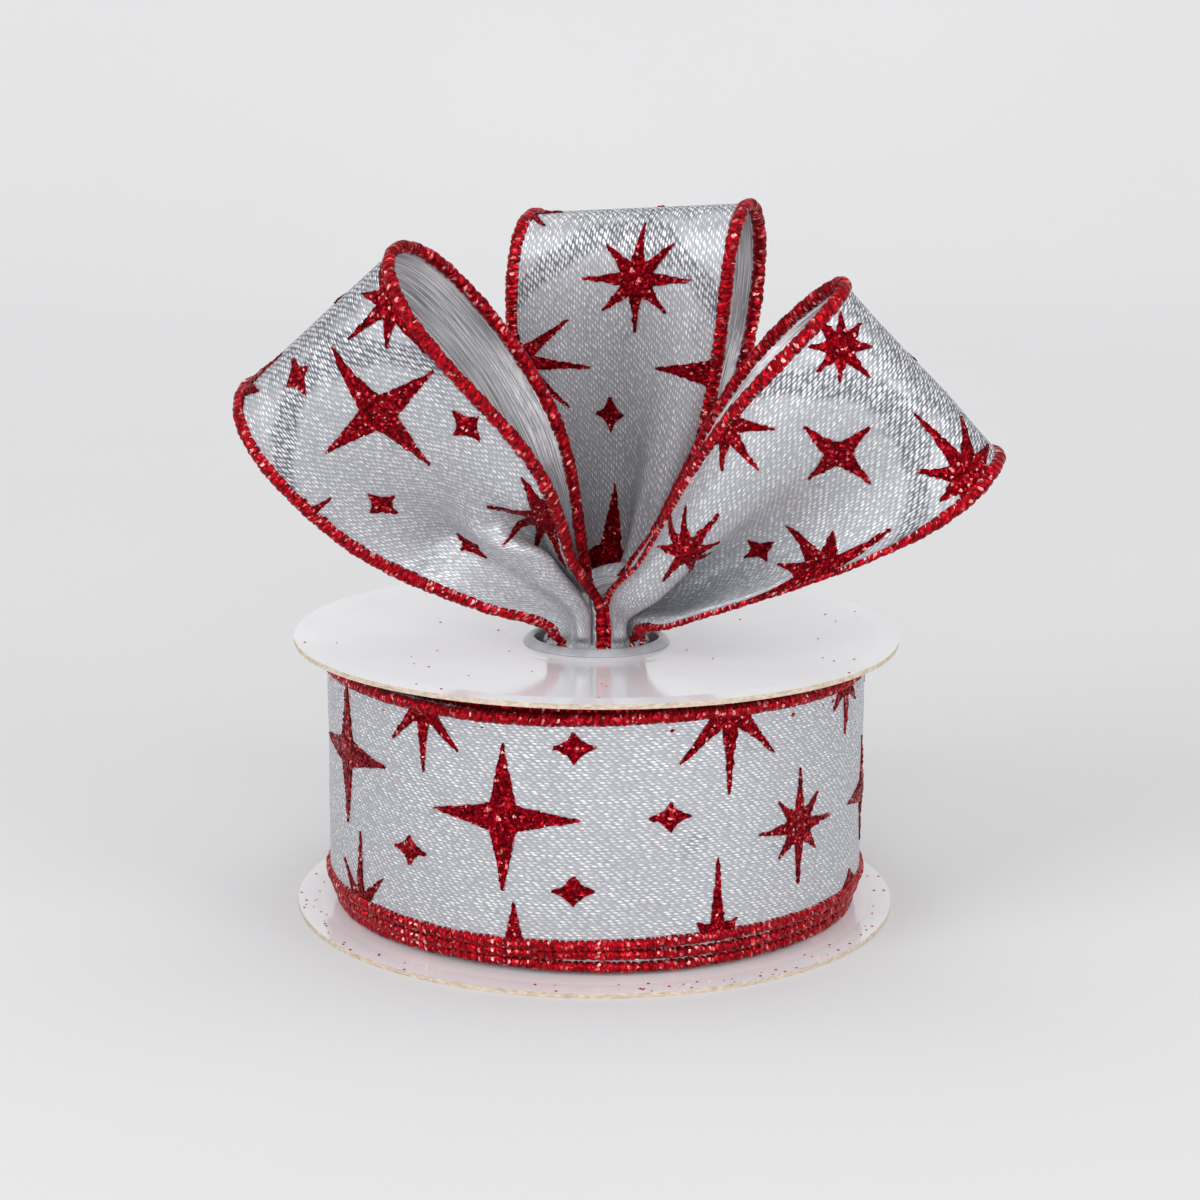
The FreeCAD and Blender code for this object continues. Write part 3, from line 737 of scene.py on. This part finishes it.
def loop_strip(loop):
    """The loop's middle surface, from down in the hub up over the crest and down again."""
    width, front, up = axes(loop)
    below = np.linspace(-1.0, 0.0, DIP_ROWS, endpoint=False)
    over = np.arange(0.0, 1.0 + LOOP_STEP / 2, LOOP_STEP)
    dip = np.concatenate([-below, np.zeros(len(over)), -below[::-1]])
    along = np.concatenate([np.zeros(len(below)), over, np.ones(len(below))])
    angle = math.pi * along
    rise = np.sin(angle)
    front_leg = along < 0.5
    # the plain teardrop and its broad fold
    belly = 1.0 - loop["belly"] + loop["belly"] * rise**2
    out = loop["depth"] / 2.0 * np.sin(2.0 * angle) * belly
    out += LEG_GAP * (1.0 - rise) * np.where(front_leg, 1.0, -1.0) + loop["lean"] * rise**2
    centre = np.array(loop["base"]) + up * (loop["height"] * rise)[:, None]
    centre = centre + front * out[:, None] + width * (loop["drift"] * rise**2)[:, None]
    steep = loop["steep"] * (1.0 - smooth(rise / loop["reach"])) ** loop["fade"]
    share = np.linspace(-1.0, 1.0, SAMPLES)[None, :]
    broad = np.sin(math.pi * loop["waves"] * (share - loop["phase"]))
    across, fold = sections(steep[:, None] * broad)
    tilted_width = width + up * (loop["skew"] * rise**2)[:, None]
    ends = tilted_width * (across[:, -1] - across[:, 0])[:, None]
    ends = ends + front * (fold[:, -1] - fold[:, 0])[:, None]
    span = chord(across, fold)
    # where it must be in the hub
    pull = 1.0 - smooth(rise / THROAT)
    x, y, heading, tilt, narrow = np.where(
        front_leg[:, None], loop["front_throat"], loop["back_throat"]
    ).T
    heading, tilt = np.radians(heading), np.radians(tilt)
    climbed = rise * loop["height"] * THROAT_RISE
    height = THROAT_TOP + climbed - dip * (THROAT_TOP - THROAT_LOW)
    hub = np.stack([x, y, height], axis=-1)
    hub_width = np.stack([
        np.cos(heading) * np.cos(tilt), np.sin(heading) * np.cos(tilt), np.sin(tilt)
    ], axis=-1)
    # small pleats take up the cloth that the narrowing frees
    small = PLEAT_STEEP * (1.0 - smooth(rise / PLEAT_REACH)) ** PLEAT_FADE
    fine = np.sin(math.pi * loop["pleats"] * (share - loop["pleat_phase"]))
    tucked = np.zeros((len(rise), 1), bool)
    if "tuck" in loop:
        tuck = np.interp(share[0], *zip(*loop["tuck"]))[None, :]
        own = 1.0 - smooth((rise - TUCK_LOW) / (TUCK_HIGH - TUCK_LOW))[:, None]
        broad = broad * (1.0 - own) + rounded(tuck) * own
        tucked = own > 1e-6
    target = span * (1.0 - pull) + narrow * pull
    low, high = np.zeros(len(rise)), np.full(len(rise), STEEPEST)
    for _ in range(HALVINGS):
        trial = (low + high) / 2.0
        wide = chord(*sections(trial[:, None] * broad + small[:, None] * fine)) > target
        low, high = np.where(wide, trial, low), np.where(wide, high, trial)
    trial = np.where((small > 1e-6) | tucked[:, 0], (low + high) / 2.0, steep)
    across, fold = sections(trial[:, None] * broad + small[:, None] * fine)
    # lay the section along its own chord
    run, climb = across[:, -1] - across[:, 0], fold[:, -1] - fold[:, 0]
    size = np.hypot(run, climb)
    a = (across * run[:, None] + fold * climb[:, None]) / size[:, None]
    b = (fold * run[:, None] - across * climb[:, None]) / size[:, None]
    a *= (target / size)[:, None]
    b *= (1.0 - SQUASH * pull)[:, None]
    direction = unit(ends)
    perpendicular = unit(front * run[:, None] - tilted_width * climb[:, None])
    direction = unit(direction * (1.0 - pull)[:, None] + hub_width * pull[:, None])
    hub_front = np.stack([np.sin(heading), -np.cos(heading), 0 * heading], axis=-1)
    perpendicular = perpendicular * (1.0 - pull)[:, None] + hub_front * pull[:, None]
    perpendicular -= direction * (perpendicular * direction).sum(axis=1, keepdims=True)
    perpendicular = unit(perpendicular)
    centre = centre * (1.0 - pull)[:, None] + hub * pull[:, None]
    points = centre[:, None] + direction[:, None] * a[..., None]
    points = points + perpendicular[:, None] * b[..., None]
    points += creases(loop, rise, share, perpendicular)
    return Strip(keep_in_hub(points), np.linspace(-HALF_RIBBON, HALF_RIBBON, SAMPLES), -1.0)


def creases(loop, rise, share, perpendicular):
    """Faint lengthwise wrinkles, stronger towards the gather."""
    phase = loop["fan"]
    ripple = np.sin(share * 9.0 + phase + 2.0 * rise[:, None])
    ripple = ripple + 0.6 * np.sin(share * 17.0 + 2.3 * phase - 3.0 * rise[:, None])
    depth = 0.10 + 0.25 * (1.0 - smooth(rise / 0.7))
    depth = depth * smooth(rise / 0.2)
    edge = 1.0 - np.abs(share) ** 6
    return perpendicular[:, None] * (ripple * depth[:, None] * edge)[..., None]


def keep_in_hub(points):
    """Draw in whatever would pass through the hub's lip."""
    radius = np.hypot(points[..., 0], points[..., 1])
    room = HUB_ROOM + np.clip(points[..., 2] - LIP_TOP, 0.0, None) * LIP_FLARE
    over = np.clip(radius / room - (1.0 - HUB_EASE), 0.0, None) / HUB_EASE
    kept = np.where(over > 0, room * (1.0 - HUB_EASE + HUB_EASE * np.tanh(over)), radius)
    factor = kept / np.maximum(radius, 1e-6)
    points = points.copy()
    points[..., 0] *= factor
    points[..., 1] *= factor
    return points


# Stars: along, across, arm lengths round the star, waist, turn in degrees. The kinds that come
# often give the last three.
FOUR = ((12.2, 12.0, 12.2, 12.0), 3.1, 0)
DIAMOND = ((3.4, 2.5, 3.4, 2.5), 1.6, 0)
EIGHT = ((8.8, 6.6, 9.6, 6.6, 8.8, 6.6, 9.6, 6.6), 2.9, 0)
LOOP_STARS = {
    "left": [
        (-21.0, 3.8, *FOUR), (-9.5, 16.8, *EIGHT), (-8.5, -4.5, *DIAMOND),
        (-31.0, 13.8, *DIAMOND), (-35.0, -9.0, *DIAMOND),
        (-52.5, -6.2, *DIAMOND), (-54.0, 15.3, (10, 9, 10, 11, 13, 13, 14, 12), 3.8, 0),
        (-1.0, -17.5, *EIGHT),
        (-28.0, -19.5, (5, 4, 6, 4, 5, 4, 6, 4), 2.2, 0), (12.0, 5.0, *FOUR),
        (32.0, -14.0, *EIGHT), (36.0, 6.0, *DIAMOND), (55.0, 2.0, *FOUR),
    ],
    "middle": [
        (-16.6, 2.9, (9.2, 8.0, 9.2, 8.0, 9.6, 8.0, 9.2, 8.0), 3.1, 0),
        (-33.5, -17.6, (10, 13, 12.8, 12, 9, 6, 6, 6), 3.6, 0),
        (-32.4, 19.0, (10, 10, 10, 11.4), 3.1, 0), (-42.5, -1.7, *DIAMOND),
        (-70.0, -1.0, (14, 12, 14, 12), 3.1, 0),
        (-3.0, -18.8, (6, 6.5, 6, 6.5, 6, 6.5, 6, 6.5), 2.0, 0),
        (4.0, 3.0, (5, 5, 5, 5), 1.8, 0), (18.0, 4.0, *FOUR),
        (34.0, -8.0, *EIGHT), (37.0, 12.0, *DIAMOND), (58.0, 4.0, *FOUR),
    ],
    "right": [
        (-20.2, -1.0, (6.5, 7.6, 6.5, 7.6), 2.2, 0),
        (-8.5, -13.0, (5, 5, 6.5, 5, 5, 5, 6.5, 5), 2.4, 0),
        (-7.6, 15.2, (7, 9, 7, 7, 6, 8, 12.5, 9), 3.2, 0),
        (-30.0, -17.8, (8, 9, 9, 7, 9, 6, 9, 6), 3.0, 0),
        (-35.4, 15.8, (13.5, 9, 9, 7, 11, 9, 11, 8), 4.2, -8), (-44.4, 6.4, DIAMOND[0], 1.4, 0),
        (-49.5, -8.8, (9, 6, 7, 7, 8, 6, 10, 7), 2.4, 0), (5.0, -2.0, *DIAMOND),
        (16.0, 6.0, *FOUR), (34.0, -12.0, *EIGHT), (40.0, 8.0, *DIAMOND),
        (58.0, 2.0, *FOUR),
    ],
}
ROLL_STARS = [
    (-14.4, 2.2, *FOUR), (-3.2, 13.8, *DIAMOND), (-31.7, -5.8, *DIAMOND),
    (-3.2, -9.2, *DIAMOND), (11.8, 2.1, *DIAMOND), (36.1, -2.7, EIGHT[0], 2.8, 0),
    (-28.7, 18.5, (9, 9, 9, 9, 9, 9.5, 11, 9.5), 3.0, 0),
    (21.6, 18.8, (10, 9, 9, 9, 10, 12, 14, 12), 3.6, 0),
    (19.9, -19.0, (9, 5, 13.6, 5, 9, 5, 9, 5), 3.2, 0), (-12.6, -19.0, (5, 7.6, 5, 4), 2.2, 0),
    (-49.4, 6.4, *FOUR), (-45.0, -19.0, (8, 9.5, 12.8, 9.5, 8, 5, 6, 5), 3.0, 0),
    (62.0, -3.0, (10, 9, 10, 9), 2.6, 0), (49.8, 19.0, *EIGHT),
    (54.0, -17.0, *DIAMOND),
]
GATHER_PLEATS = 19.0


def add_bow(materials):
    """Each loop's ribbon, stitched edges and glitter, bending from the gather to the loop."""
    for name, loop in LOOPS.items():
        strip = loop_strip(loop)
        body = f"{name}_loop"
        web = web_mesh(f"{body}_ribbon", strip, materials["web"], crest=True)
        stitches = stitch_mesh(f"{body}_stitching", strip, materials["thread"])
        stars = glitter_mesh(f"{body}_glitter", strip, LOOP_STARS[name], materials["glitter"])
        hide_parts(f"{body}_web")
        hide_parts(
            f"{body}_left_edge", f"{body}_right_edge",
            f"{body}_left_wire", f"{body}_right_wire",
        )
        for piece in (web, stitches, stars):
            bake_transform(piece)


def add_gather(materials):
    """The gathered ribbon in the hub: a pleated column, waisted at the tie, with cut ends."""
    outline = [
        (0.4, 20.0), (5.6, 20.3), (6.3, 21.0), (7.6, 25.0), (8.7, 29.0), (8.8, 36.0), (8.5, 39.0),
        (7.9, 39.6), (7.9, 40.4), (8.5, 41.0), (8.9, 43.0), (9.0, 45.2), (8.2, 46.1), (0.4, 45.9),
    ]

    def pleats(angle, height):
        deep = 0.045 + 0.04 * np.sin(3.0 * angle + height * 0.05)
        wave = GATHER_PLEATS * angle + 1.3 * np.sin(2.0 * angle) + height * 0.03
        return 1.0 - deep + deep * np.cos(wave)

    piece = lathe("bow_gather", outline, materials["web"], around=380, ripple=pleats, woven=True)
    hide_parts("bow_stem")
    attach(piece, "bow")


# ---------------------------------------------------------------- ribbon on the spool
def turn_strip(index, low):
    """One turn of the roll, open at the back. index counts in from the outside."""
    radius = ROLL_RADIUS - index * TURN_PITCH
    half = math.pi * radius - SEAM_GAP
    along = np.arange(-half, half + 0.01, 0.6)  # a row of points each 0.6 mm
    across = np.linspace(-HALF_RIBBON, HALF_RIBBON, 65)
    a, v = np.meshgrid(along, across, indexing="ij")
    pucker = 0.05 * np.sin(a * 0.53 + 0.4 * v) + 0.04 * np.sin(a * 0.21 - 0.23 * v + index)
    pucker = pucker * (1.0 - (v / HALF_RIBBON) ** 4)
    r = radius + pucker
    sway = 0.26 * np.sin(a / radius * 2.0 + index)
    sway = sway + 0.16 * np.sin(a / radius * 5.0 + 2.0 * index)
    angle = a / radius
    height = low + HALF_RIBBON + v + sway
    points = np.stack([r * np.sin(angle), -r * np.cos(angle), height], axis=-1)
    return Strip(points, across, 1.0, start=half)


def add_roll(materials):
    """The four outermost turns, each with the height of its lower edge."""
    lows = {"outer": 5.6, "second": 3.5, "third": 1.4, "fourth": 6.7}
    for index, (name, low) in enumerate(lows.items()):
        strip = turn_strip(index, low)
        fine = 0.4 if index == 0 else 1.2
        web = web_mesh(f"{name}_turn_ribbon", strip, materials["web"], fine)
        pitch = STITCH_PITCH * (0.85 + 0.07 * (index * 2 % 3))
        wide, thick = (1.1, 1.0) if index == 3 else (0.84, 0.95)
        stitches = stitch_mesh(
            f"{name}_turn_stitching", strip, materials["thread"], pitch, wide, thick
        )
        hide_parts(f"{name}_turn_web")
        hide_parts(f"{name}_turn_bottom_edge", f"{name}_turn_top_edge")
        if index == 0:
            stars = glitter_mesh("outer_turn_glitter", strip, roll_stars(), materials["glitter"])
            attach(stars, "spool")
        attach(web, "spool")
        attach(stitches, "spool")


def roll_stars():
    """The front's stars, and the same pattern again round the back, clear of the end tape."""
    repeat = 118.0  # from the front's pattern to its next repeat
    half = 141.0  # stars past this come round from the other side
    front_end, tape_start = 70.0, 130.0
    found = list(ROLL_STARS)
    for along, across, arms, waist, turn in ROLL_STARS[:13]:
        place = along + repeat
        if place > half:
            place -= 2 * math.pi * ROLL_RADIUS
        if abs(place) > front_end and abs(place) + max(arms) < tape_start:
            found.append((place, -across * 0.9, arms, waist, turn))
    return found


def add_inner_turns(materials):
    """The turns further in, seen only edge on: a coil with a stitched bead at each turn."""
    inner, outer = 13.2, 42.0
    low, high = 4.5, 42.4
    count = int((outer - inner) / TURN_PITCH)

    def beads(level, sign, swings, turns):
        """A bead at each turn's edge, the edges at slightly uneven heights."""
        found = []
        for k in turns:
            rise = 0.35 * math.sin(k * swings[0]) + 0.2 * math.sin(k * swings[1])
            for part in (0.15, 0.5, 0.85)[::turns.step]:
                bead = 0.35 * math.sin(math.pi * part)
                radius = inner + TURN_PITCH * (k + part)
                found.append((radius, level + sign * (rise * 0.5 + bead)))
        return found

    outline = [(inner, low + 1.0)]
    outline += beads(low + 0.5, -1.0, (1.9, 0.7), range(count))
    outline += [(outer, low + 1.0), (outer, high - 1.0)]
    outline += beads(high - 0.5, 1.0, (2.3, 0.9), range(count - 1, -1, -1))
    outline.append((inner, high - 1.0))

    def wobble(angle, height):
        return 1.0 + 0.0015 * np.sin(angle * 61.0 + height)

    piece = lathe("inner_turns_coil", outline, materials["coil"], around=240, ripple=wobble)
    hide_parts("inner_turns_web", "inner_turns_bottom_edge", "inner_turns_top_edge")
    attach(piece, "spool")


def coil_thread():
    """Red stitched edges of the inner turns, seen end on."""
    material, tree = start_material("coil_thread")
    grain = cells(tree, object_place(tree, (1600, 1600, 1600)))
    shade = part_of(tree, grain.outputs["Color"], 0)
    # The pale top stop of this ramp is a painted glint.
    colour = ramp(tree, shade, [
        (0.0, (0.10, 0.0, 0.005)), (0.5, (0.38, 0.005, 0.016)), (0.9, (0.62, 0.02, 0.035)),
        (1.0, (0.9, 0.5, 0.5)),
    ])
    relief = bumped(tree, grain.outputs["Distance"], 0.6, 0.15)
    relief = tilted(tree, relief, grain.outputs["Color"], 0.8)
    return finished(material, colour, spread(tree, shade, 0.5, 0.25), relief, 0.55)


# ---------------------------------------------------------------- spool
def add_collars(materials):
    """Hub collars with a rounded, flared lip; the bottom one mirrors the top one."""
    bore, lip = 10.4, 12.4
    spool_height = 46.7
    outline = [
        (bore, 32.7), (bore, 45.2), (bore + 0.10, 45.62), (bore + 0.35, 45.83), (bore + 0.7, 45.9),
        (bore + 1.1, 45.78), (bore + 1.6, 45.4), (lip - 0.12, 45.05), (lip, 44.88), (lip, 44.72),
        (bore + 0.62, 44.72), (bore + 0.6, 44.5), (bore + 0.6, 32.7),
    ]
    for name, points in (
        ("top_collar", outline),
        ("bottom_collar", [(r, spool_height - z) for r, z in outline]),
    ):
        piece = lathe(f"{name}_ring", points, materials["plastic"], around=128)
        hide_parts(name)
        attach(piece, "spool")


DISH_RADII, DISH_HEIGHTS = (16.0, 47.0), (44.7, 46.7)  # top flange: at its hub and at its rim


def flange_height(radius):
    """Top of the dished top flange."""
    return np.interp(radius, DISH_RADII, DISH_HEIGHTS)


def add_specks(materials):
    """Loose glitter on both flanges."""
    total, on_top = 150, 32
    floor = 0.8  # top of the bottom flange
    points, faces = [], []
    shape = np.array([(1, 0, 0), (0.3, 0.9, 0), (-0.9, 0.5, 0), (-0.5, -0.8, 0), (0.6, -0.7, 0)])
    for speck in range(total):
        upper = speck < on_top
        radius = dice.uniform(15, 50.3) if upper else dice.uniform(47.0, 50.6)
        angle = dice.uniform(0, 2 * math.pi)
        height = flange_height(radius) if upper else floor
        size = dice.uniform(0.10, 0.26)
        centre = np.array([radius * math.cos(angle), radius * math.sin(angle), height])
        twist = dice.uniform(0, math.pi)
        turned = shape[:, :2] @ np.array([
            [math.cos(twist), -math.sin(twist)], [math.sin(twist), math.cos(twist)],
        ])
        start = len(points)
        for level in (-0.02, 0.10):
            for x, y in turned * size:
                points.append(centre + (x, y, level))
        faces.append([start + 5 + k for k in range(5)])
        faces.append([start + k for k in reversed(range(5))])
        for k in range(5):
            after = (k + 1) % 5
            faces.append([start + k, start + after, start + 5 + after, start + 5 + k])
    piece = add_mesh("loose_glitter", points, faces, materials["speck"], soft=False)
    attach(piece, "spool")


def speck_red():
    """Loose flakes of the red glitter."""
    material, tree = start_material("speck_red")
    grain = cells(tree, object_place(tree, (900, 900, 900)))
    # The pale top stop of this ramp is a painted glint.
    colour = ramp(tree, part_of(tree, grain.outputs["Color"], 0), [
        (0.0, (0.25, 0.0, 0.01)), (0.9, (0.60, 0.01, 0.03)), (1.0, (0.9, 0.3, 0.3)),
    ])
    return finished(material, colour, 0.3, metallic=0.6)


def dress_cad_nodes(materials):
    """Better materials on the CAD nodes that stay."""
    chosen = {
        "top_flange": "board", "bottom_flange": "board", "core_tube": "core", "core_tape": "tape",
        "end_tape": "tape", "bow_tie_wire": "steel", "outer_turn_wires": "steel",
        "second_turn_wires": "steel", "third_turn_wires": "steel", "fourth_turn_wires": "steel",
    }
    for name, key in chosen.items():
        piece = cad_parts[name]
        piece = piece if isinstance(piece, bpy.types.Object) else bpy.data.objects[name]
        for item in piece.material_slots:
            item.material = materials[key]


# ---------------------------------------------------------------- backdrop
def add_backdrop(material):
    """A seamless sweep: floor, a wide bend and a wall."""
    bend, wall, side, front, back = 600.0, 1500.0, 2600.0, -1500.0, 900.0
    steps = 16
    below = 0.02  # the floor lies this far under the spool
    profile = [(front, 0.0), (0.0, 0.0), (back, 0.0)]
    for k in range(1, steps + 1):
        angle = math.pi / 2 * k / steps
        profile.append((back + bend * math.sin(angle), bend * (1.0 - math.cos(angle))))
    profile.append((back + bend, wall))
    points = [(x, y, z - below) for y, z in profile for x in (-side, side)]
    faces = grid_faces(len(profile), 2)
    piece = add_mesh("backdrop", np.array(points), faces, material)


MATERIALS = {
    "web": lame("silver_lame"),
    "thread": thread("red_thread"),
    "glitter": glitter("red_glitter"),
    "coil": coil_thread(),
    "speck": speck_red(),
    "board": board(),
    "core": brown_board(),
    "plastic": plastic(),
    "tape": tape(),
    "steel": steel(),
    "backdrop": studio_grey(),
}

add_camera()
add_studio()
add_bow(MATERIALS)
add_gather(MATERIALS)
add_roll(MATERIALS)
add_inner_turns(MATERIALS)
add_collars(MATERIALS)
add_specks(MATERIALS)
dress_cad_nodes(MATERIALS)
add_backdrop(MATERIALS["backdrop"])


def plain(box):
    """A box as lists that json can write."""
    return [[float(v) for v in corner] for corner in box]
